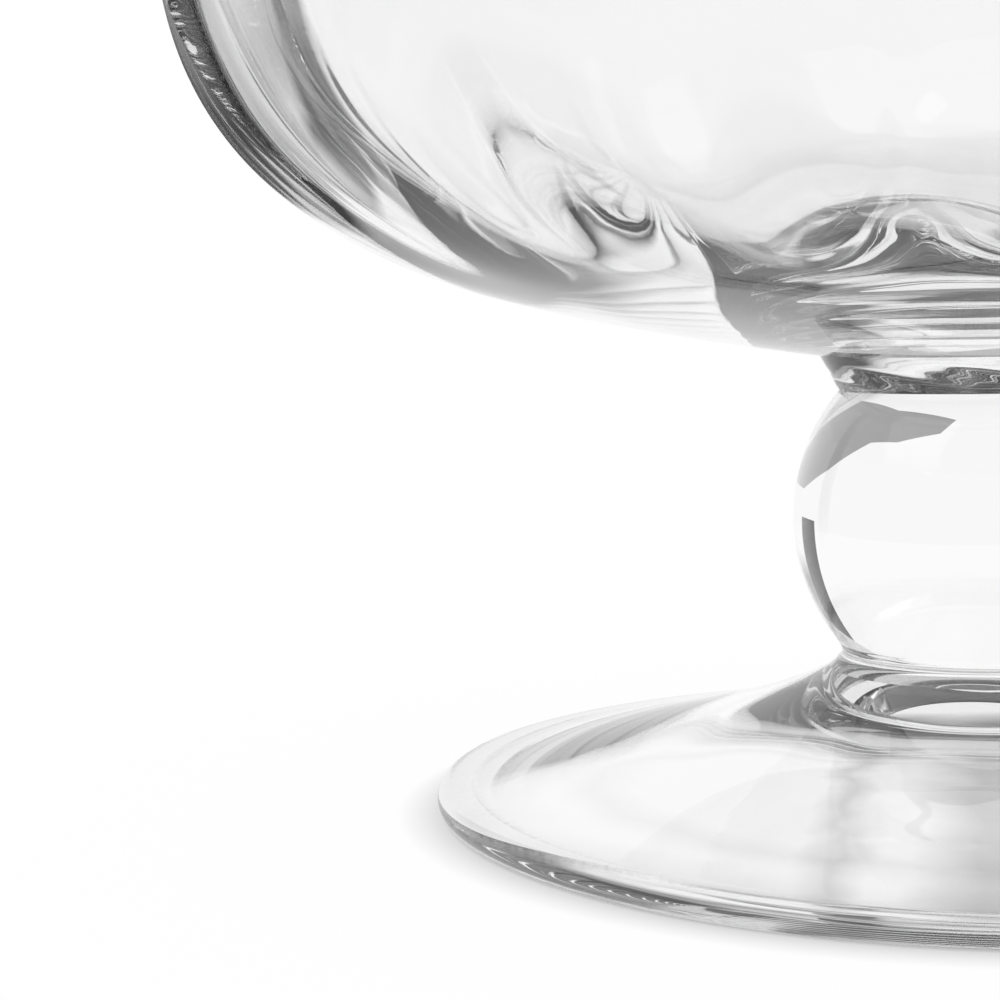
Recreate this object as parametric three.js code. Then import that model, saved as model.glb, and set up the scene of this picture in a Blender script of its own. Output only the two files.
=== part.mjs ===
// Footed trifle bowl in clear glass: a ribbed bowl, a ball knop between two collars, and a hollow spread foot.
// Millimetres, +Z up. The origin is the centre of the circle that the foot stands on.

import * as THREE from 'three';
import { mergeVertices } from 'three/addons/utils/BufferGeometryUtils.js';

// Foot
const footDiameter = 150;         // across the outside of the rounded edge
const footEdgeThickness = 4.4;    // height of the rounded edge
const bearingWidth = 3.2;         // flat ring that the foot stands on
const footTopHeight = 19;         // from the table to the lower collar
const footNeckRadius = 20.2;      // where the foot meets the lower collar
const footEdgeSlope = 8.7;        // degrees, top of the foot just inside its edge
const footEdgeReach = 17.4;       // how far that slope carries inwards
const footNeckSlope = 31.5;       // degrees, top of the foot just outside the collar
const footNeckReach = 10.5;       // how far that slope carries outwards
const footHollowHeight = 16;      // highest point of the hollow underneath
const footHollowSlope = 16;       // degrees, underside just inside the bearing ring
const footHollowReach = 22;       // how far that slope carries inwards
const footHollowFlat = 20;        // how far the level centre of the hollow carries outwards

// Lower collar
const lowerCollarHeight = 3.4;
const lowerCollarWaist = 18.6;    // smallest radius
const lowerCollarWaistAt = 0.56;  // part of the collar's height

// Knop
const knopDiameter = 50.4;
const knopHeight = 34.8;
const knopLowerRadius = 19;       // where it meets the lower collar
const knopUpperRadius = 18.9;     // where it meets the upper collar

// Upper collar
const upperCollarHeight = 4.8;
const upperCollarBead = 20.3;     // radius of the small bead
const upperCollarBeadAt = 0.58;   // part of the collar's height

// Bowl
const bowlDiameter = 220;
const bowlNeckRadius = 21.4;      // where the bowl meets the upper collar
const bowlHeight = 128;           // from the upper collar to the top of the rim
const bowlTurnHeight = 60.2;      // above the upper collar, where the outside becomes upright
const undersideSlope = 8.2;       // degrees, outside of the bowl next to the collar
const undersideReach = 57.5;      // how far that slope carries outwards
const outsideReach = 42.6;        // how far the upright outside carries down
const rimThickness = 4;
const wallThickness = 5;          // where the outside becomes upright
const lowerWallThickness = 3.7;
const turnThickness = 3;          // the thinnest glass, where the underside turns up into the wall
const outerBaseThickness = 3.3;
const innerBaseThickness = 3.9;
const neckThickness = 4.5;        // next to the collar
const thicknessPlaces = [1, 0.8, 0.6, 0.35, 0.2, 0]; // of those six, from 0 at the collar to 1 at the upright wall
const floorRingRadius = 28;       // lowest ring of the floor, around its raised middle
const floorRingHeight = 5.4;      // above the collar
const floorRingRound = 1.5;       // rounding on each side of that ring
const floorMiddleHeight = 9.9;    // above the collar

// Ribs of the bowl, which fade out towards the base and the rim
const ribCount = 20;
const ribAngle = -5;              // degrees, one outside valley's place from the front, positive to the right
const outsideRibDepth = 1.7;
const insideRibDepth = 0.45;
const ribsBeginRadius = 66;
const ribsFullRadius = 100;
const ribsFullHeight = 30;        // above the collar, where the ribs begin to flatten
const ribsFlatHeight = 63;        // above the collar, where they have their wall depth
const ribsWallShare = 0.4;        // part of the depth that is left on the wall
const ribsEndBelowRim = 8;
const ribsFullBelowRim = 50;

// Facets around each piece
const bowlFacets = ribCount * 6;
const footFacets = 64;
const stemFacets = 48;

const lowerCollarBottom = footTopHeight;
const knopBottom = lowerCollarBottom + lowerCollarHeight;
const upperCollarBottom = knopBottom + knopHeight;
const bowlBottom = upperCollarBottom + upperCollarHeight;
const bowlTop = bowlBottom + bowlHeight;

const radians = THREE.MathUtils.degToRad;
const point = (radius, height) => new THREE.Vector2(radius, height);
const from = (start, degrees, length) => point(
  start.x + length * Math.cos(radians(degrees)),
  start.y + length * Math.sin(radians(degrees)),
);

// A smooth line from start to end, leaving along one handle and arriving along the other.
function sweep(start, startHandle, endHandle, end, steps) {
  return new THREE.CubicBezierCurve(start, startHandle, endHandle, end).getPoints(steps);
}

// A circular arc in the profile plane, angles in degrees.
function arc(centre, radius, startDegrees, endDegrees, steps) {
  const points = [];
  for (let i = 0; i <= steps; i += 1) {
    points.push(from(centre, startDegrees + ((endDegrees - startDegrees) * i) / steps, radius));
  }
  return points;
}

// Joins profile runs and leaves out points that repeat the one before.
function joined(...runs) {
  const points = [];
  for (const next of runs.flat()) {
    const last = points[points.length - 1];
    if (!last || last.distanceTo(next) > 1e-6) points.push(next);
  }
  return points;
}

// Turns a profile that starts and ends on the axis into a closed solid. shift(profile index, angle) gives how far
// a surface point moves along the outward normal of the profile.
function turned(profile, facets, shift) {
  const lathe = new THREE.LatheGeometry(profile, facets);
  const position = lathe.getAttribute('position');
  if (shift) {
    const outward = profile.map((_, j) => {
      const before = profile[Math.max(j - 1, 0)];
      const after = profile[Math.min(j + 1, profile.length - 1)];
      return point(after.y - before.y, before.x - after.x).normalize();
    });
    for (let i = 0; i <= facets; i += 1) {
      const angle = (i / facets) * 2 * Math.PI;
      profile.forEach((p, j) => {
        const move = shift(j, angle);
        const radius = p.x + outward[j].x * move;
        const height = p.y + outward[j].y * move;
        position.setXYZ(i * profile.length + j, radius * Math.sin(angle), height, radius * Math.cos(angle));
      });
    }
  }
  lathe.deleteAttribute('normal');
  lathe.deleteAttribute('uv');
  const solid = mergeVertices(lathe, 1e-4);
  const index = solid.getIndex();
  const kept = [];
  for (let i = 0; i < index.count; i += 3) {
    const a = index.getX(i);
    const b = index.getX(i + 1);
    const c = index.getX(i + 2);
    if (a !== b && b !== c && c !== a) kept.push(a, b, c);
  }
  solid.setIndex(kept);
  solid.rotateX(Math.PI / 2);
  solid.computeVertexNormals();
  return solid;
}

function clearGlass() {
  return new THREE.MeshStandardMaterial({ color: 0xf4f6f6, roughness: 0.02, metalness: 0, transparent: true, opacity: 0.35 });
}

function piece(name, geometry) {
  const mesh = new THREE.Mesh(geometry, clearGlass());
  mesh.name = name;
  return mesh;
}

// A spread disc of nearly even thickness, hollow underneath, that stands on a narrow flat ring.
function footProfile() {
  const edgeRadius = footEdgeThickness / 2;
  const edgeCentre = point(footDiameter / 2 - edgeRadius, edgeRadius);
  const bearingInside = point(edgeCentre.x - bearingWidth, 0);
  const hollowTop = point(0, footHollowHeight);
  const underside = sweep(
    hollowTop,
    point(footHollowFlat, footHollowHeight),
    from(bearingInside, 180 - footHollowSlope, footHollowReach),
    bearingInside,
    9,
  );
  const edge = arc(edgeCentre, edgeRadius, -90, 90, 6);
  const neck = point(footNeckRadius, footTopHeight);
  const top = sweep(
    point(edgeCentre.x, footEdgeThickness),
    from(point(edgeCentre.x, footEdgeThickness), 180 - footEdgeSlope, footEdgeReach),
    from(neck, -footNeckSlope, footNeckReach),
    neck,
    9,
  );
  return joined(underside, edge, top, [point(0, footTopHeight)]);
}

// A short waisted bead of glass on top of the foot.
function lowerCollarProfile() {
  const waist = point(lowerCollarWaist, lowerCollarBottom + lowerCollarHeight * lowerCollarWaistAt);
  const side = new THREE.SplineCurve([
    point(footNeckRadius, lowerCollarBottom),
    waist,
    point(knopLowerRadius, knopBottom),
  ]).getPoints(6);
  return joined([point(0, lowerCollarBottom)], side, [point(0, knopBottom)]);
}

// A solid ball, cut level where the collars meet it. Each half is a quarter ellipse that ends at its collar.
function knopProfile() {
  const radius = knopDiameter / 2;
  const rise = (end) => 1 / Math.sqrt(1 - (end / radius) ** 2);
  const lowerRise = rise(knopLowerRadius);
  const upperRise = rise(knopUpperRadius);
  const halfBelow = knopHeight / (1 + lowerRise / upperRise);
  const middle = knopBottom + halfBelow;
  const side = [];
  const steps = 6;
  for (let i = -steps; i <= steps; i += 1) {
    const full = i < 0 ? halfBelow * lowerRise : (knopHeight - halfBelow) * upperRise;
    const reach = i < 0 ? halfBelow : knopHeight - halfBelow;
    const height = (reach * i) / steps;
    side.push(point(radius * Math.sqrt(1 - (height / full) ** 2), middle + height));
  }
  return joined([point(0, knopBottom)], side, [point(0, upperCollarBottom)]);
}

// A thin disc with a small bead, between the knop and the bowl.
function upperCollarProfile() {
  const bead = point(upperCollarBead, upperCollarBottom + upperCollarHeight * upperCollarBeadAt);
  const side = new THREE.SplineCurve([
    point(knopUpperRadius, upperCollarBottom),
    bead,
    point(bowlNeckRadius, bowlBottom),
  ]).getPoints(6);
  return joined([point(0, upperCollarBottom)], side, [point(0, bowlBottom)]);
}

// Thickness of the bowl's glass, a smooth line through the six named ones.
function thicknessAt(place) {
  const thicknesses = [wallThickness, lowerWallThickness, turnThickness, outerBaseThickness, innerBaseThickness, neckThickness];
  const knots = thicknessPlaces.map((at, k) => point(at, thicknesses[k])).reverse();
  const slopes = knots.slice(1).map((knot, k) => (knot.y - knots[k].y) / (knot.x - knots[k].x));
  const slopeAt = (k) => (k === 0 ? slopes[0] : k === slopes.length ? slopes[k - 1] : (slopes[k - 1] + slopes[k]) / 2);
  const k = Math.max(0, knots.findLastIndex((knot, i) => i < slopes.length && knot.x <= place));
  const gap = knots[k + 1].x - knots[k].x;
  const t = (place - knots[k].x) / gap;
  return knots[k].y * (1 + 2 * t) * (1 - t) ** 2 + slopeAt(k) * gap * t * (1 - t) ** 2
    + knots[k + 1].y * t ** 2 * (3 - 2 * t) - slopeAt(k + 1) * gap * t ** 2 * (1 - t);
}

// The outside from the collar to the rim, then the inside from the rim to the raised middle of the floor.
function bowlProfile() {
  const radius = bowlDiameter / 2;
  const rimRadius = rimThickness / 2;
  const steps = 12;
  const neck = point(bowlNeckRadius, bowlBottom);
  const outsideTurn = point(radius, bowlBottom + bowlTurnHeight);
  const underside = new THREE.CubicBezierCurve(
    neck,
    from(neck, undersideSlope, undersideReach),
    from(outsideTurn, -90, outsideReach),
    outsideTurn,
  );
  const inside = [];
  for (let i = steps; i > 0; i -= 1) {
    const along = underside.getTangent(i / steps);
    const inwards = point(-along.y, along.x).multiplyScalar(thicknessAt(i / steps));
    inside.push(underside.getPoint(i / steps).add(inwards));
  }
  const upright = (start, end) => new THREE.LineCurve(start, end).getPoints(2);
  const rimCentre = point(radius - rimRadius, bowlTop - rimRadius);
  const outerWall = upright(outsideTurn, point(radius, rimCentre.y));
  const rim = arc(rimCentre, rimRadius, 0, 180, 4);
  const innerWall = upright(point(radius - rimThickness, rimCentre.y), inside[0]);
  const ring = point(floorRingRadius, bowlBottom + floorRingHeight);
  const middle = point(0, bowlBottom + floorMiddleHeight);
  const rise = middle.y - ring.y;
  const dome = new THREE.CubicBezierCurve(
    ring,
    point((ring.x * 2) / 3, ring.y + (rise * 2) / 3),
    point(ring.x / 3, middle.y),
    middle,
  );
  const last = inside[inside.length - 1];
  const ringStart = ring.clone().lerp(last, floorRingRound / (last.x - ring.x));
  const domeStart = floorRingRound / ring.x;
  const valley = new THREE.QuadraticBezierCurve(ringStart, ring, dome.getPoint(domeStart)).getPoints(2);
  const floor = [];
  for (let i = 0; i <= 5; i += 1) floor.push(dome.getPoint(domeStart + ((1 - domeStart) * i) / 5));
  const outside = joined([point(0, bowlBottom)], underside.getPoints(steps), outerWall);
  return { points: joined(outside, rim, innerWall, inside, valley, floor), outsideCount: outside.length };
}

function bowlGeometry() {
  const { points, outsideCount } = bowlProfile();
  const fade = THREE.MathUtils.smoothstep;
  const depth = points.map((p, j) => (j < outsideCount ? outsideRibDepth : insideRibDepth)
    * fade(p.x, ribsBeginRadius, ribsFullRadius)
    * fade(bowlTop - p.y, ribsEndBelowRim, ribsFullBelowRim)
    * (1 - (1 - ribsWallShare) * fade(p.y - bowlBottom, ribsFullHeight, ribsFlatHeight)));
  const wave = (angle) => (1 - Math.cos(ribCount * (angle - radians(ribAngle)))) / 2;
  return turned(points, bowlFacets, (j, angle) => -depth[j] * (j < outsideCount ? 1 - wave(angle) : wave(angle)));
}

const trifleBowl = new THREE.Group();
trifleBowl.add(piece('foot', turned(footProfile(), footFacets)));
trifleBowl.add(piece('lower_collar', turned(lowerCollarProfile(), stemFacets)));
trifleBowl.add(piece('knop', turned(knopProfile(), stemFacets)));
trifleBowl.add(piece('upper_collar', turned(upperCollarProfile(), stemFacets)));
trifleBowl.add(piece('bowl', bowlGeometry()));

export default trifleBowl;
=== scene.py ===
import math

import bpy
import numpy as np
from mathutils import Matrix, Vector


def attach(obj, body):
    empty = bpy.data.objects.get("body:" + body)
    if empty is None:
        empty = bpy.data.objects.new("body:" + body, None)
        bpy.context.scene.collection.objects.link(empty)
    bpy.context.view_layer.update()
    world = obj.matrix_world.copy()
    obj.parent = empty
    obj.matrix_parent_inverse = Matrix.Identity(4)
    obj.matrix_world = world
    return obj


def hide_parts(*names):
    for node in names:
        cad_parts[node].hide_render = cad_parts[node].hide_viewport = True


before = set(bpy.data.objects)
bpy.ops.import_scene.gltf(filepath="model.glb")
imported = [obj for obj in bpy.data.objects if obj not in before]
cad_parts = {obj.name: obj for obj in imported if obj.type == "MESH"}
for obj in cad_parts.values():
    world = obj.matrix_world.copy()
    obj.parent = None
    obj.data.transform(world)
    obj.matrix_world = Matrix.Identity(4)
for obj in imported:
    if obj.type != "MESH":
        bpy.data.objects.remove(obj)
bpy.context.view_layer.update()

MM = 0.001
TURN = 2 * math.pi

# Sizes of the glass in millimetres, the same as the solids have
FOOT_RADIUS = 75.0
FOOT_EDGE_THICKNESS = 4.4
BEARING_WIDTH = 3.2
FOOT_TOP_HEIGHT = 19.0
FOOT_NECK_RADIUS = 20.2
FOOT_EDGE_SLOPE = 8.7
FOOT_EDGE_REACH = 17.4
FOOT_NECK_SLOPE = 31.5
FOOT_NECK_REACH = 10.5
FOOT_HOLLOW_HEIGHT = 16.0
FOOT_HOLLOW_SLOPE = 16.0
FOOT_HOLLOW_REACH = 22.0
FOOT_HOLLOW_FLAT = 20.0

LOWER_COLLAR_HEIGHT = 3.4
LOWER_COLLAR_WAIST = 18.6
LOWER_COLLAR_WAIST_AT = 0.56

KNOP_RADIUS = 25.2
KNOP_HEIGHT = 34.8
KNOP_LOWER_RADIUS = 19.0
KNOP_UPPER_RADIUS = 18.9

UPPER_COLLAR_HEIGHT = 4.8
UPPER_COLLAR_BEAD = 20.3
UPPER_COLLAR_BEAD_AT = 0.58

BOWL_RADIUS = 110.0
BOWL_NECK_RADIUS = 21.4
BOWL_HEIGHT = 128.0
BOWL_TURN_HEIGHT = 60.2
UNDERSIDE_SLOPE = 8.2
UNDERSIDE_REACH = 57.5
OUTSIDE_REACH = 42.6
RIM_THICKNESS = 4.0

# Thickness of the bowl at places along its outside, from the neck at 0 to the turn of the wall at 1
THICKNESS_PLACES = (0.0, 0.2, 0.35, 0.6, 0.8, 1.0)
THICKNESSES = (4.5, 3.9, 3.3, 3.0, 3.7, 5.0)

# The ring round the raised floor inside, with heights above the upper collar
FLOOR_RING_RADIUS = 28.0
FLOOR_RING_HEIGHT = 5.4
FLOOR_RING_ROUND = 1.5
FLOOR_MIDDLE_HEIGHT = 9.9

RIB_COUNT = 20
RIB_ANGLE = -5.0
OUTSIDE_RIB_DEPTH = 1.7
INSIDE_RIB_DEPTH = 0.45
RIBS_BEGIN_RADIUS = 66.0
RIBS_FULL_RADIUS = 100.0
RIBS_FULL_HEIGHT = 30.0
RIBS_FLAT_HEIGHT = 63.0
RIBS_WALL_SHARE = 0.4
RIBS_END_BELOW_RIM = 8.0
RIBS_FULL_BELOW_RIM = 50.0

KNOP_BOTTOM = FOOT_TOP_HEIGHT + LOWER_COLLAR_HEIGHT
UPPER_COLLAR_BOTTOM = KNOP_BOTTOM + KNOP_HEIGHT
BOWL_BOTTOM = UPPER_COLLAR_BOTTOM + UPPER_COLLAR_HEIGHT
BOWL_TOP = BOWL_BOTTOM + BOWL_HEIGHT

# Marks that the tools leave in the glass, in millimetres, and the widths over which they fade out
COLLAR_GROOVES = 7
COLLAR_GROOVE_DEPTH = 0.07
COLLAR_GROOVE_TWIST = 1.15
COLLAR_GROOVE_WANDER = 0.35
COLLAR_GROOVE_WANDERS_ROUND = 3
COLLAR_GROOVE_START = 1.0
COLLAR_GROOVE_FADE_SHARE = 0.3
TURNING_RING_DEPTH = 0.03
TURNING_RING_WIDTHS = (23.0, 14.0, 9.5)
FOOT_NECK_FADE = 14.0
FOOT_EDGE_FADE = 8.0
KNOP_FADE = 6.0
BOWL_BASE_FADE = (4.0, 24.0)
HAND_WAVE_DEPTH = 0.05
HAND_WAVE_LENGTH = 26.0
HAND_WAVES_ROUND = (5, 9, 13)

# Steps along and around each piece
BOWL_FACETS = RIB_COUNT * 16
STEM_FACETS = 256
FOOT_FACETS = 320
FOOT_STEPS = 64
FOOT_EDGE_STEPS = 24
BEARING_STEPS = 3
LOWER_COLLAR_STEPS = 10
KNOP_STEPS = 80
UPPER_COLLAR_STEPS = 14
UNDERSIDE_STEPS = 72
WALL_STEPS = 20
RIM_STEPS = 14
FLOOR_RING_STEPS = 10
FLOOR_STEPS = 40

GLASS = 0
FUSED = 1
SAME_POINT = 1e-6


# Profile lines: each is a list of (radius, height)
def along(start, degrees, length):
    angle = math.radians(degrees)
    return (start[0] + length * math.cos(angle), start[1] + length * math.sin(angle))


def sweep(start, start_handle, end_handle, end, steps):
    t = np.linspace(0.0, 1.0, steps + 1)[:, None]
    a, b, c, d = (np.array(p, float) for p in (start, start_handle, end_handle, end))
    return (1 - t) ** 3 * a + 3 * (1 - t) ** 2 * t * b + 3 * (1 - t) * t ** 2 * c + t ** 3 * d


def bend(start, corner, end, steps):
    t = np.linspace(0.0, 1.0, steps + 1)[:, None]
    a, b, c = (np.array(p, float) for p in (start, corner, end))
    return (1 - t) ** 2 * a + 2 * t * (1 - t) * b + t ** 2 * c


def straight(start, end, steps):
    t = np.linspace(0.0, 1.0, steps + 1)[:, None]
    return (1 - t) * np.array(start, float) + t * np.array(end, float)


def arc(centre, radius, start_degrees, end_degrees, steps):
    angles = np.linspace(start_degrees, end_degrees, steps + 1)
    return np.array([along(centre, a, radius) for a in angles])


def through(first, middle, last, steps):
    """A smooth line through three points."""
    p = [np.array(q, float) for q in (first, first, middle, last, last)]
    line = []
    for k in (1, 2):
        a, b, c, d = p[k - 1:k + 3]
        lean_in = (c - a) / 2
        lean_out = (d - b) / 2
        for t in np.linspace(0.0, 1.0, steps + 1):
            cube = 2 * b - 2 * c + lean_in + lean_out
            square = 3 * c - 3 * b - 2 * lean_in - lean_out
            line.append(cube * t ** 3 + square * t ** 2 + lean_in * t + b)
    return np.array(line)


def smooth(value, low, high):
    t = np.clip((value - low) / (high - low), 0.0, 1.0)
    return t * t * (3 - 2 * t)


def thickness_at(place):
    """The bowl's thickness, on smooth curves through the given ones."""
    places = np.array(THICKNESS_PLACES)
    values = np.array(THICKNESSES)
    slope = np.diff(values) / np.diff(places)
    lean = np.concatenate([slope[:1], (slope[1:] + slope[:-1]) / 2, slope[-1:]])
    k = np.clip(np.searchsorted(places, place, side="right") - 1, 0, len(places) - 2)
    gap = np.diff(places)[k]
    t = (place - places[k]) / gap
    start = (1 + 2 * t) * (1 - t) ** 2 * values[k] + t * (1 - t) ** 2 * gap * lean[k]
    end = t ** 2 * (3 - 2 * t) * values[k + 1] - t ** 2 * (1 - t) * gap * lean[k + 1]
    return start + end


# Turned glass
class Profile:
    """Runs of a closed profile, each with the finish of the surface that it turns into."""

    def __init__(self):
        self.points = []
        self.finishes = []

    def add(self, line, finish=GLASS):
        for p in np.asarray(line, float):
            if self.points and np.hypot(*(p - self.points[-1])) < SAME_POINT:
                continue
            if self.points:
                self.finishes.append(finish)
            self.points.append(p)
        return self


def turned(name, profile, facets, shift=None):
    """Makes a closed mesh of revolution. shift(points, angles) moves it along its outward normal."""
    points = np.array(profile.points)
    ahead = np.vstack([points[1:], points[-1:]])
    behind = np.vstack([points[:1], points[:-1]])
    tangent = ahead - behind
    normal = np.stack([tangent[:, 1], -tangent[:, 0]], 1)
    normal /= np.linalg.norm(normal, axis=1)[:, None]
    angle = np.arange(facets) / facets * TURN
    move = np.zeros((len(points), facets)) if shift is None else shift(points, angle)
    radius = points[:, :1] + normal[:, :1] * move
    height = points[:, 1:] + normal[:, 1:] * move
    grid = np.stack([radius * np.sin(angle), -radius * np.cos(angle), height], 2) * MM
    vertices = []
    rings = []
    for j, p in enumerate(points):
        if p[0] < SAME_POINT:
            rings.append([len(vertices)] * facets)
            vertices.append((0.0, 0.0, p[1] * MM))
        else:
            rings.append(range(len(vertices), len(vertices) + facets))
            vertices.extend(map(tuple, grid[j]))
    faces = []
    finishes = []
    for j, finish in enumerate(profile.finishes):
        low, high = rings[j], rings[j + 1]
        for i in range(facets):
            k = (i + 1) % facets
            corners = [low[i], low[k], high[k], high[i]]
            faces.append(list(dict.fromkeys(corners)))
            finishes.append(finish)
    mesh = bpy.data.meshes.new(name)
    mesh.from_pydata(vertices, [], faces)
    mesh.polygons.foreach_set("material_index", finishes)
    mesh.polygons.foreach_set("use_smooth", [True] * len(faces))
    mesh.update()
    edge_finish = {}
    for polygon in mesh.polygons:
        for key in polygon.edge_keys:
            edge_finish.setdefault(key, set()).add(polygon.material_index)
    for edge in mesh.edges:
        edge.use_edge_sharp = len(edge_finish[tuple(sorted(edge.vertices))]) > 1
    piece = bpy.data.objects.new(name, mesh)
    bpy.context.scene.collection.objects.link(piece)
    return piece


def hand_waves(points, angle):
    """Slow unevenness of hand-worked glass, from 0 to 1."""
    step = np.hypot(*np.diff(points, axis=0).T)
    run = np.concatenate([[0.0], np.cumsum(step)])[:, None] * TURN / HAND_WAVE_LENGTH
    total = np.zeros((len(points), len(angle)))
    for k, waves in enumerate(HAND_WAVES_ROUND):
        total += np.sin(waves * angle[None] + (-1) ** k * run + k * k)
    return 0.5 + total / (2 * len(HAND_WAVES_ROUND))


def foot():
    edge_radius = FOOT_EDGE_THICKNESS / 2
    centre = (FOOT_RADIUS - edge_radius, edge_radius)
    inside = (centre[0] - BEARING_WIDTH, 0.0)
    top = (centre[0], FOOT_EDGE_THICKNESS)
    neck = (FOOT_NECK_RADIUS, FOOT_TOP_HEIGHT)
    hollow_top = (0.0, FOOT_HOLLOW_HEIGHT)
    profile = Profile()
    profile.add(sweep(hollow_top, (FOOT_HOLLOW_FLAT, FOOT_HOLLOW_HEIGHT),
                      along(inside, 180 - FOOT_HOLLOW_SLOPE, FOOT_HOLLOW_REACH), inside, FOOT_STEPS))
    profile.add(straight(inside, (centre[0], 0.0), BEARING_STEPS))
    profile.add(arc(centre, edge_radius, -90, 90, FOOT_EDGE_STEPS))
    profile.add(sweep(top, along(top, 180 - FOOT_EDGE_SLOPE, FOOT_EDGE_REACH),
                      along(neck, -FOOT_NECK_SLOPE, FOOT_NECK_REACH), neck, FOOT_STEPS))
    profile.add([(0.0, FOOT_TOP_HEIGHT)], FUSED)

    def turning_rings(points, angle):
        radius = points[:, 0]
        fade = smooth(radius - FOOT_NECK_RADIUS, 0, FOOT_NECK_FADE)
        fade *= smooth(inside[0] - radius, 0, FOOT_EDGE_FADE)
        total = sum(np.sin(radius * TURN / width + k) for k, width in enumerate(TURNING_RING_WIDTHS))
        rings = 0.5 + total / (2 * len(TURNING_RING_WIDTHS))
        depth = TURNING_RING_DEPTH * rings[:, None] + HAND_WAVE_DEPTH * hand_waves(points, angle)
        return -fade[:, None] * depth

    return turned("glass_foot", profile, FOOT_FACETS, turning_rings)


def lower_collar():
    profile = Profile()
    profile.add([(0.0, FOOT_TOP_HEIGHT), (FOOT_NECK_RADIUS, FOOT_TOP_HEIGHT)], FUSED)
    waist = (LOWER_COLLAR_WAIST, FOOT_TOP_HEIGHT + LOWER_COLLAR_HEIGHT * LOWER_COLLAR_WAIST_AT)
    top = (KNOP_LOWER_RADIUS, KNOP_BOTTOM)
    profile.add(through((FOOT_NECK_RADIUS, FOOT_TOP_HEIGHT), waist, top, LOWER_COLLAR_STEPS))
    profile.add([(0.0, KNOP_BOTTOM)], FUSED)
    return turned("glass_lower_collar", profile, STEM_FACETS)


def knop():
    rise_below = 1 / math.sqrt(1 - (KNOP_LOWER_RADIUS / KNOP_RADIUS) ** 2)
    rise_above = 1 / math.sqrt(1 - (KNOP_UPPER_RADIUS / KNOP_RADIUS) ** 2)
    below = KNOP_HEIGHT / (1 + rise_below / rise_above)
    above = KNOP_HEIGHT - below
    middle = KNOP_BOTTOM + below
    line = []
    for step in np.linspace(-1.0, 1.0, KNOP_STEPS + 1):
        reach, rise = (below, rise_below) if step < 0 else (above, rise_above)
        line.append((KNOP_RADIUS * math.sqrt(1 - (step / rise) ** 2), middle + reach * step))
    profile = Profile()
    profile.add([(0.0, KNOP_BOTTOM), line[0]], FUSED)
    profile.add(line)
    profile.add([(0.0, UPPER_COLLAR_BOTTOM)], FUSED)

    def unevenness(points, angle):
        height = points[:, 1]
        fade = smooth(height - KNOP_BOTTOM, 0, KNOP_FADE)
        fade *= smooth(UPPER_COLLAR_BOTTOM - height, 0, KNOP_FADE)
        return -HAND_WAVE_DEPTH * fade[:, None] * hand_waves(points, angle)

    return turned("glass_knop", profile, STEM_FACETS, unevenness)


def upper_collar():
    profile = Profile()
    profile.add([(0.0, UPPER_COLLAR_BOTTOM), (KNOP_UPPER_RADIUS, UPPER_COLLAR_BOTTOM)], FUSED)
    bead = (UPPER_COLLAR_BEAD, UPPER_COLLAR_BOTTOM + UPPER_COLLAR_HEIGHT * UPPER_COLLAR_BEAD_AT)
    top = (BOWL_NECK_RADIUS, BOWL_BOTTOM)
    profile.add(through((KNOP_UPPER_RADIUS, UPPER_COLLAR_BOTTOM), bead, top, UPPER_COLLAR_STEPS))
    profile.add([(0.0, BOWL_BOTTOM)], FUSED)

    def tool_marks(points, angle):
        up = (points[:, 1] - UPPER_COLLAR_BOTTOM) / UPPER_COLLAR_HEIGHT
        fade = smooth(up, 0, COLLAR_GROOVE_FADE_SHARE) * smooth(1 - up, 0, COLLAR_GROOVE_FADE_SHARE)
        slant = angle[None] + COLLAR_GROOVE_TWIST * up[:, None]
        wander = np.sin(COLLAR_GROOVE_WANDERS_ROUND * angle[None] + COLLAR_GROOVE_START)
        groove = 0.5 + 0.5 * np.cos(COLLAR_GROOVES * slant + COLLAR_GROOVE_WANDER * wander)
        return -COLLAR_GROOVE_DEPTH * fade[:, None] * groove ** 2

    return turned("glass_upper_collar", profile, STEM_FACETS, tool_marks)


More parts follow.
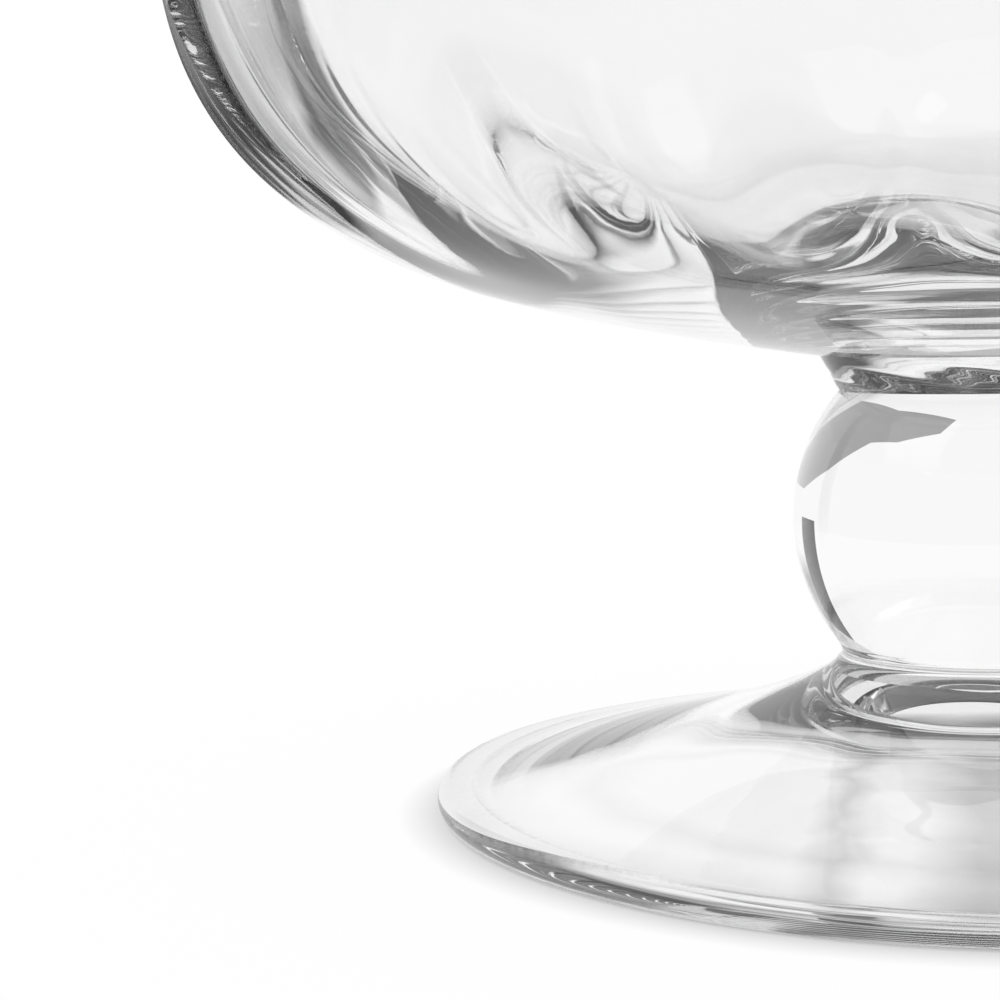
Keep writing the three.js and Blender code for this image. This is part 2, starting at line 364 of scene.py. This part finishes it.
def bowl():
    rim_radius = RIM_THICKNESS / 2
    neck = (BOWL_NECK_RADIUS, BOWL_BOTTOM)
    turn = (BOWL_RADIUS, BOWL_BOTTOM + BOWL_TURN_HEIGHT)
    rim_centre = (BOWL_RADIUS - rim_radius, BOWL_TOP - rim_radius)
    underside = sweep(neck, along(neck, UNDERSIDE_SLOPE, UNDERSIDE_REACH),
                      along(turn, -90, OUTSIDE_REACH), turn, UNDERSIDE_STEPS)
    tangent = np.gradient(underside, axis=0)
    inward = np.stack([-tangent[:, 1], tangent[:, 0]], 1)
    inward /= np.linalg.norm(inward, axis=1)[:, None]
    thickness = thickness_at(np.linspace(0.0, 1.0, UNDERSIDE_STEPS + 1))
    inside = (underside + inward * thickness[:, None])[::-1]
    inside = inside[inside[:, 0] > FLOOR_RING_RADIUS + FLOOR_RING_ROUND]
    ring = (FLOOR_RING_RADIUS, BOWL_BOTTOM + FLOOR_RING_HEIGHT)
    middle = (0.0, BOWL_BOTTOM + FLOOR_MIDDLE_HEIGHT)
    rise = FLOOR_MIDDLE_HEIGHT - FLOOR_RING_HEIGHT
    dome = sweep(ring, (ring[0] * 2 / 3, ring[1] + rise * 2 / 3),
                 (ring[0] / 3, middle[1]), middle, FLOOR_STEPS)
    dome = dome[dome[:, 0] < FLOOR_RING_RADIUS - FLOOR_RING_ROUND]
    profile = Profile()
    profile.add([(0.0, BOWL_BOTTOM), neck], FUSED)
    profile.add(underside)
    profile.add(straight(turn, (BOWL_RADIUS, rim_centre[1]), WALL_STEPS))
    outside_count = len(profile.points)
    profile.add(arc(rim_centre, rim_radius, 0, 180, RIM_STEPS))
    profile.add(straight((BOWL_RADIUS - RIM_THICKNESS, rim_centre[1]), inside[0], WALL_STEPS))
    profile.add(inside)
    profile.add(bend(inside[-1], ring, dome[0], FLOOR_RING_STEPS))
    profile.add(dome)

    def ribs(points, angle):
        radius = points[:, 0]
        height = points[:, 1] - BOWL_BOTTOM
        below_rim = smooth(BOWL_TOP - points[:, 1], RIBS_END_BELOW_RIM, RIBS_FULL_BELOW_RIM)
        fade = smooth(radius, RIBS_BEGIN_RADIUS, RIBS_FULL_RADIUS) * below_rim
        fade *= 1 - (1 - RIBS_WALL_SHARE) * smooth(height, RIBS_FULL_HEIGHT, RIBS_FLAT_HEIGHT)
        wave = (1 - np.cos(RIB_COUNT * (angle - math.radians(RIB_ANGLE)))) / 2
        is_outside = np.arange(len(points)) < outside_count
        outer = -OUTSIDE_RIB_DEPTH * fade[:, None] * (1 - wave)[None]
        inner = -INSIDE_RIB_DEPTH * fade[:, None] * wave[None]
        worked = smooth(radius - FLOOR_RING_RADIUS, *BOWL_BASE_FADE) * below_rim
        uneven = -HAND_WAVE_DEPTH * worked[:, None] * hand_waves(points, angle)
        return np.where(is_outside[:, None], outer, inner) + uneven

    return turned("glass_bowl", profile, BOWL_FACETS, ribs)


# Materials
class Sock:
    """A socket in a node tree. Maths on it adds Math nodes."""

    def __init__(self, tree, socket):
        self.tree = tree
        self.socket = socket

    def maths(self, operation, first, second, clamp=False):
        node = self.tree.nodes.new("ShaderNodeMath")
        node.operation = operation
        node.use_clamp = clamp
        for slot, value in zip(node.inputs, (first, second)):
            if isinstance(value, Sock):
                self.tree.links.new(value.socket, slot)
            else:
                slot.default_value = value
        return Sock(self.tree, node.outputs[0])

    def __add__(self, other):
        return self.maths("ADD", self, other)

    __radd__ = __add__

    def __mul__(self, other):
        return self.maths("MULTIPLY", self, other)

    __rmul__ = __mul__

    def __sub__(self, other):
        return self.maths("SUBTRACT", self, other)

    def __rsub__(self, other):
        return self.maths("SUBTRACT", other, self)

    def clamped(self):
        return self.maths("ADD", self, 0.0, clamp=True)

    def size(self):
        return self.maths("ABSOLUTE", self, 0.0)

    def at_least(self, other):
        return self.maths("MAXIMUM", self, other)

    def ramp(self, low, high):
        """0 at low and 1 at high, held beyond them."""
        return self.maths("DIVIDE", self - low, high - low, clamp=True)


class Finish:
    """A material's or the world's node tree, with one way to add a node."""

    def __init__(self, tree):
        self.tree = tree
        tree.nodes.clear()

    def node(self, kind, settings=None, **sockets):
        made = self.tree.nodes.new(kind)
        for key, value in (settings or {}).items():
            setattr(made, key, value)
        for key, value in sockets.items():
            place = int(key[1:]) if key[1:].isdigit() else key.replace("_", " ")
            slot = made.inputs[place]
            if isinstance(value, Sock):
                self.tree.links.new(value.socket, slot)
            else:
                slot.default_value = value
        return made

    def out(self, kind, output=0, settings=None, **sockets):
        return Sock(self.tree, self.node(kind, settings, **sockets).outputs[output])

    def place(self):
        """Metres in the part's own frame."""
        return self.out("ShaderNodeTexCoord", "Object")

    def stretched(self, place, stretch):
        return self.out("ShaderNodeVectorMath", 0, {"operation": "MULTIPLY"}, _0=place, _1=stretch)

    def length(self, vector):
        return self.out("ShaderNodeVectorMath", "Value", {"operation": "LENGTH"}, _0=vector)

    def axes(self, vector):
        parts = self.node("ShaderNodeSeparateXYZ", Vector=vector).outputs
        return [Sock(self.tree, part) for part in parts]

    def noise(self, place, scale, detail, output=0):
        return self.out("ShaderNodeTexNoise", output, Vector=place, Scale=scale, Detail=detail)

    def cover(self, share, below, above):
        return self.out("ShaderNodeMixShader", 0, _0=share, _1=below, _2=above)

    def blend(self, share, first, second):
        return self.out("ShaderNodeMix", 2, {"data_type": "RGBA"}, _0=share, _6=first, _7=second)


def new_material(name):
    material = bpy.data.materials.new(name)
    material.use_nodes = True
    return material, Finish(material.node_tree)


GLASS_IOR = 1.5
CLEAREST = (0.972, 0.973, 0.972, 1)
LEAST_CLEAR = (0.952, 0.955, 0.953, 1)
CLOUD_SCALE = 22.0
CLOUD_DETAIL = 3.0
CORD_DETAIL = 2.0
CORD_DEPTH = 0.00004
CORD_STRENGTH = 0.25
BEARING_WEAR_HEIGHT = 0.0006
BEARING_WEAR_ROUGHNESS = 0.45
SCUFF_SCALE = 900.0
SCUFF_DETAIL = 4.0
ROUND_CORDS = (9.0, 9.0, 60.0)
WANDERING_CORDS = (30.0, 30.0, 30.0)
RISING_CORDS = (55.0, 55.0, 7.0)


def clear_glass(name, cord_stretch, bearing_wear=False):
    """Clear glass with faint cords, finer in a direction where cord_stretch is more."""
    material, f = new_material(name)
    place = f.place()
    cords = f.noise(f.stretched(place, cord_stretch), 1.0, CORD_DETAIL)
    colour = f.blend(f.noise(place, CLOUD_SCALE, CLOUD_DETAIL), CLEAREST, LEAST_CLEAR)
    relief = f.out("ShaderNodeBump", 0, Strength=CORD_STRENGTH, Distance=CORD_DEPTH, Height=cords)
    shine = {"Roughness": 0.0}
    if bearing_wear:
        height = f.axes(place)[2]
        scuffs = f.noise(place, SCUFF_SCALE, SCUFF_DETAIL)
        shine = {"Roughness": height.ramp(BEARING_WEAR_HEIGHT, 0.0) * scuffs * BEARING_WEAR_ROUGHNESS}
    glass = f.out("ShaderNodeBsdfPrincipled", Base_Color=colour, IOR=GLASS_IOR, Transmission_Weight=1.0,
                  Normal=relief, **shine)
    f.node("ShaderNodeOutputMaterial", Surface=glass)
    return material


def fused_joint():
    material, f = new_material("fused_joint")
    f.node("ShaderNodeOutputMaterial", Surface=f.out("ShaderNodeBsdfTransparent"))
    return material


# The set, in metres and degrees: floor, lamp and levels of light
FLOOR_REACH = 6.0
PAPER = 0.8
PAPER_GRAIN = 0.01
PAPER_GRAIN_SCALE = 340.0
PAPER_GRAIN_DETAIL = 3.0
DIFFUSE_LEVEL = 0.55
FLOOR_GLOW = 0.48
FLOOR_GLOW_IN_GLASS = 0.97
SHADOW_REACH = (0.0752, 0.0805)
FAINT_SHADOW_REACH = (0.08, 0.2)
FAINT_SHADOW = 0.05
LAMP_PLACE = (-1.1, -0.9, 1.5)
LAMP_SIZE = 1.4
LAMP_POWER = 6.0

# Dark cards that only the glass shows, and a grey sheet of painted shadow on the floor. A slant is 0 for light
# that meets the card head-on and 1 edge-on.
LEFT_FLAG_BACK = 0.03
LEFT_FLAG_NEAR = (-0.112, -0.122)
LEFT_FLAG_FAR = (-0.22, -0.18)
LEFT_FLAG_LOW = (0.01, 0.045)
LEFT_FLAG_HIGH = (0.19, 0.11)
LEFT_FLAG_SLANT = (0.94, 0.8)
LEFT_FLAG_LEVEL = 0.07
RIGHT_FLAG_LINE = ((0.0318, 0.0576), (0.041, 0.0493))
RIGHT_FLAG_HEIGHTS = (0.035, 0.065)
RIGHT_FLAG_SLANT = (0.3, 0.2)
RIGHT_FLAG_LEVEL = 0.02
# The back shade is painted shadow: a grey sheet on the floor behind and right of the foot, where the bowl's
# shadow falls, seen only in the glass.
BACK_SHADE_LINE = ((0.007, 0.119), (0.013, 0.131), (0.031, 0.131), (0.042, 0.12), (0.088, 0.127),
                   (0.17, 0.115), (0.17, 0.05), (0.09, 0.04), (0.041, 0.052), (0.024, 0.098))
BACK_SHADE_HEIGHT = 0.001
BACK_SHADE_SLANT = (0.22, 0.3)
BACK_SHADE_LEVEL = 0.34

# Shade that the foot and the stem throw on the floor below the foot
EDGE_SHADE_REACH = (0.054, 0.071)
EDGE_SHADE = 0.26
RING_SHADE_RADIUS = 0.046
RING_SHADE_WIDTH = 0.006
RING_SHADE = 0.09
STEM_SHADE_REACH = (-0.003, 0.006)
STEM_SHADE_END = (0.034, 0.016)
STEM_SHADE = 0.36
STREAK_SHADE_PLACE = -0.0115
STREAK_SHADE_WIDTH = 0.004
STREAK_SHADE = 0.25
SHADE_LIMIT = (0.078, 0.085)
SHADE_WANDER = (0.012, 0.012, 0.0)
SHADE_WANDER_SCALE = 45.0
SHADE_WANDER_DETAIL = 3.0

# Dark parts of the room: one overhead and one to the right
TOP_FLAG_DIRECTION = (0.0, 71.0)
TOP_FLAG_REACH = (29.0, 25.0)
TOP_FLAG_LEVEL = 0.06
SIDE_FLAG_FROM = 60.0
SIDE_FLAG_TO = 125.0
SIDE_FLAG_BOTTOM = 12.0
SIDE_FLAG_LEVEL = 0.1

# Counts of bounces. Light on a long way in the glass meets an unlit room with one window behind the bowl.
STRAIGHT_WAY = 2.5
STRAIGHT_WAY_EDGE = 0.2
WORLD_STEPS_AHEAD = 1.0
SHORT_WAY = 4.7
LONG_WAY = 8.2
LONG_WAY_LEVEL = 0.04
LONG_WAY_FLOOR = 0.16
LONG_WAY_FLOOR_REACH = (0.17, 0.11)
WINDOW_FROM = -10.0
WINDOW_TO = 22.0
WINDOW_TOP = 35.0
WINDOW_EDGE = 4.0
FAR_WINDOW_FROM = -20.0
FAR_FLOOR = (0.22, 0.32)


class Path:
    """What kind of ray looks at the set."""

    def __init__(self, f, steps_ahead=0.0):
        node = f.node("ShaderNodeLightPath")
        self.from_camera = Sock(f.tree, node.outputs["Is Camera Ray"])
        glossy = Sock(f.tree, node.outputs["Is Glossy Ray"])
        passed = Sock(f.tree, node.outputs["Is Transmission Ray"])
        self.in_glass = (glossy + passed).clamped()
        bounces = Sock(f.tree, node.outputs["Ray Depth"]) - steps_ahead
        self.straight = bounces.ramp(STRAIGHT_WAY + STRAIGHT_WAY_EDGE, STRAIGHT_WAY - STRAIGHT_WAY_EDGE)
        self.long_way = bounces.ramp(SHORT_WAY, LONG_WAY)


def grey(level):
    return (level, level, level, 1.0)


def rising(angle, middle, edge):
    """0 before and 1 after an angle in degrees, with a soft edge. A negative edge turns it round."""
    return angle.ramp(math.radians(middle - edge), math.radians(middle + edge))


def between(angle, start, end, edge):
    """1 from start to end, in degrees, with soft edges."""
    return rising(angle, start, edge) * rising(angle, end, -edge)


def foot_shade(f, place):
    """How dark the floor is below the foot: at the edge, in one ring, in one streak and behind the stem."""
    wander = f.stretched(f.noise(place, SHADE_WANDER_SCALE, SHADE_WANDER_DETAIL, 1), SHADE_WANDER)
    shaken = f.out("ShaderNodeVectorMath", 0, {"operation": "ADD"}, _0=wander, _1=place)
    distance = f.length(shaken)
    x = f.axes(shaken)[0]
    edge = distance.ramp(*EDGE_SHADE_REACH) * EDGE_SHADE
    ring = (distance - RING_SHADE_RADIUS).size().ramp(RING_SHADE_WIDTH, 0.0) * RING_SHADE
    streak = (x - STREAK_SHADE_PLACE).size().ramp(STREAK_SHADE_WIDTH, 0.0) * STREAK_SHADE
    behind_stem = x.ramp(*STEM_SHADE_REACH) * x.ramp(*STEM_SHADE_END) * STEM_SHADE
    below_foot = 1 - f.length(place).ramp(*SHADE_LIMIT)
    return (edge + ring + streak + behind_stem) * below_foot


def pale_floor():
    material, f = new_material("pale_floor")
    path = Path(f)
    place = f.place()
    distance = f.length(place)
    x, y, _ = f.axes(place)
    grain = f.noise(place, PAPER_GRAIN_SCALE, PAPER_GRAIN_DETAIL)
    paper_colour = f.blend(grain, grey(PAPER - PAPER_GRAIN), grey(PAPER + PAPER_GRAIN))
    glow = f.blend(path.from_camera, grey(0.0), grey(1.0))
    paper = f.out("ShaderNodeBsdfPrincipled", Base_Color=paper_colour, Roughness=1.0,
                  Specular_IOR_Level=0.0, Emission_Color=glow, Emission_Strength=FLOOR_GLOW)
    white = f.out("ShaderNodeEmission", Color=grey(1.0), Strength=1.0)
    near_clear = distance.ramp(*SHADOW_REACH) * (1 - FAINT_SHADOW)
    clear = near_clear + distance.ramp(*FAINT_SHADOW_REACH) * FAINT_SHADOW
    direct = f.cover(clear * path.from_camera, paper, white)
    round_about = x.maths("ARCTAN2", x, y)
    near_window = between(round_about, WINDOW_FROM, WINDOW_TO, WINDOW_EDGE)
    far_window = between(round_about, FAR_WINDOW_FROM, WINDOW_TO, WINDOW_EDGE) * distance.ramp(*FAR_FLOOR)
    window = near_window.at_least(far_window) * FLOOR_GLOW_IN_GLASS
    by_the_foot = distance.ramp(*LONG_WAY_FLOOR_REACH) * LONG_WAY_FLOOR
    long_glow = f.blend(window.at_least(by_the_foot), grey(LONG_WAY_LEVEL), grey(1.0))
    short_glow = f.blend(foot_shade(f, place), grey(FLOOR_GLOW_IN_GLASS), grey(0.0))
    below = f.out("ShaderNodeEmission", Color=f.blend(path.long_way, short_glow, long_glow), Strength=1.0)
    f.node("ShaderNodeOutputMaterial", Surface=f.cover(path.in_glass, direct, below))
    return material


def dark_cloth(name, level, slant, cover):
    """A dark sheet for light at the given slant: black cloth for the flags, painted shadow for the back shade.
    cover(f) is 1 where the sheet is whole and 0 where it is clear.
    """
    material, f = new_material(name)
    share = cover(f) * f.out("ShaderNodeLayerWeight", "Facing").ramp(*slant)
    cloth = f.out("ShaderNodeEmission", Color=grey(level))
    f.node("ShaderNodeOutputMaterial", Surface=f.cover(share, f.out("ShaderNodeBsdfTransparent"), cloth))
    return material


def straight_way_only(f):
    return Path(f).straight


def soft_edges(f):
    x, _, z = f.axes(f.place())
    across = x.ramp(*LEFT_FLAG_NEAR) * x.ramp(*LEFT_FLAG_FAR)
    return across * z.ramp(*LEFT_FLAG_LOW) * z.ramp(*LEFT_FLAG_HIGH)


def panel(name, corners, material):
    mesh = bpy.data.meshes.new(name)
    mesh.from_pydata(corners, [], [tuple(range(len(corners)))])
    mesh.materials.append(material)
    made = bpy.data.objects.new(name, mesh)
    bpy.context.scene.collection.objects.link(made)
    return made


def card(name, corners, level, slant, cover):
    """A dark panel that is seen only in the glass."""
    made = panel(name, corners, dark_cloth(name + "_cloth", level, slant, cover))
    made.visible_camera = False
    made.visible_diffuse = False
    made.visible_shadow = False


def upright(start, end, low, high):
    """Corners of an upright panel over a line on the floor."""
    return [(*start, low), (*end, low), (*end, high), (*start, high)]


def white_room():
    """White for the camera, a plain level on the floor, and white with dark parts in the glass."""
    world = bpy.data.worlds.new("white_room")
    bpy.context.scene.world = world
    world.use_nodes = True
    f = Finish(world.node_tree)
    path = Path(f, WORLD_STEPS_AHEAD)
    look = f.out("ShaderNodeTexCoord", "Generated")
    x, y, z = f.axes(look)
    round_about = x.maths("ARCTAN2", x, y)
    height = z.maths("ARCSINE", z, 0.0)
    azimuth, elevation = (math.radians(a) for a in TOP_FLAG_DIRECTION)
    level_part = math.cos(elevation)
    flag = (math.sin(azimuth) * level_part, math.cos(azimuth) * level_part, math.sin(elevation))
    towards = f.out("ShaderNodeVectorMath", "Value", {"operation": "DOT_PRODUCT"}, _0=look, _1=flag)
    outer, inner = (math.cos(math.radians(a)) for a in TOP_FLAG_REACH)
    overhead = towards.ramp(outer, inner) * (1 - TOP_FLAG_LEVEL)
    above = rising(height, SIDE_FLAG_BOTTOM, WINDOW_EDGE)
    beside = between(round_about, SIDE_FLAG_FROM, SIDE_FLAG_TO, WINDOW_EDGE) * above * (1 - SIDE_FLAG_LEVEL)
    low = rising(height, WINDOW_TOP, -WINDOW_EDGE)
    window = between(round_about, WINDOW_FROM, WINDOW_TO, WINDOW_EDGE) * low
    unlit = path.long_way * (1 - window) * (1 - LONG_WAY_LEVEL)
    dark = path.in_glass * overhead.at_least(beside).at_least(unlit)
    seen = (path.from_camera + path.in_glass).clamped()
    level = (seen * (1 - DIFFUSE_LEVEL) + DIFFUSE_LEVEL) * (1 - dark)
    f.node("ShaderNodeOutputWorld", Surface=f.out("ShaderNodeBackground", Color=grey(1.0), Strength=level))


def soft_lamp():
    data = bpy.data.lights.new("soft_lamp", "AREA")
    data.size = LAMP_SIZE
    data.energy = LAMP_POWER
    lamp = bpy.data.objects.new("soft_lamp", data)
    aim = Vector(LAMP_PLACE).to_track_quat("Z", "Y").to_matrix().to_4x4()
    lamp.matrix_world = Matrix.Translation(LAMP_PLACE) @ aim
    bpy.context.scene.collection.objects.link(lamp)


def studio():
    far = FLOOR_REACH
    panel("floor", [(-far, -far, 0), (far, -far, 0), (far, far, 0), (-far, far, 0)], pale_floor())
    left = upright((LEFT_FLAG_FAR[0], LEFT_FLAG_BACK), (LEFT_FLAG_NEAR[0], LEFT_FLAG_BACK),
                   LEFT_FLAG_LOW[0], LEFT_FLAG_HIGH[0])
    right = upright(*RIGHT_FLAG_LINE, *RIGHT_FLAG_HEIGHTS)
    back = [(x, y, BACK_SHADE_HEIGHT) for x, y in BACK_SHADE_LINE]
    card("left_flag", left, LEFT_FLAG_LEVEL, LEFT_FLAG_SLANT, soft_edges)
    card("right_flag", right, RIGHT_FLAG_LEVEL, RIGHT_FLAG_SLANT, straight_way_only)
    # back_shade is a painted shadow of the bowl on the floor
    card("back_shade", back, BACK_SHADE_LEVEL, BACK_SHADE_SLANT, straight_way_only)
    white_room()
    soft_lamp()


# The camera, as fitted to the photo
CAMERA_PLACE = (0.0, -0.31224, 0.06884)
CAMERA_TURN = 12.1337
CAMERA_DIP = 4.8190
CAMERA_ROLL = -1.0347
PIXELS_PER_DISTANCE = 2232.0
FRAME_PIXELS = 1000.0
SENSOR_WIDTH = 36.0
NEAREST = 0.01


def camera():
    data = bpy.data.cameras.new("camera")
    data.sensor_width = SENSOR_WIDTH
    data.lens = SENSOR_WIDTH * PIXELS_PER_DISTANCE / FRAME_PIXELS
    data.clip_start = NEAREST
    made = bpy.data.objects.new("camera", data)
    bpy.context.scene.collection.objects.link(made)
    turn = Matrix.Rotation(math.radians(CAMERA_TURN), 4, "Z")
    dip = Matrix.Rotation(math.radians(90 - CAMERA_DIP), 4, "X")
    roll = Matrix.Rotation(math.radians(CAMERA_ROLL), 4, "Z")
    made.matrix_world = Matrix.Translation(Vector(CAMERA_PLACE)) @ turn @ dip @ roll
    bpy.context.scene.camera = made


# The part and the set together
BOUNCES = 160


def main():
    joint = fused_joint()
    wall_glass = clear_glass("bowl_glass", RISING_CORDS)
    stem_glass = clear_glass("stem_glass", WANDERING_CORDS)
    foot_glass = clear_glass("foot_glass", ROUND_CORDS, bearing_wear=True)
    made = {
        "foot": (foot(), foot_glass),
        "lower_collar": (lower_collar(), stem_glass),
        "knop": (knop(), stem_glass),
        "upper_collar": (upper_collar(), stem_glass),
        "bowl": (bowl(), wall_glass),
    }
    for node, (piece, glass) in made.items():
        piece.data.materials.append(glass)
        piece.data.materials.append(joint)
        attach(piece, "root")
        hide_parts(node)
    studio()
    camera()
    scene = bpy.context.scene
    scene.view_settings.view_transform = "Standard"
    scene.cycles.max_bounces = BOUNCES
    scene.cycles.transmission_bounces = BOUNCES
    scene.cycles.glossy_bounces = BOUNCES
    scene.cycles.transparent_max_bounces = BOUNCES
    scene.cycles.caustics_refractive = False
    scene.cycles.caustics_reflective = False


main()
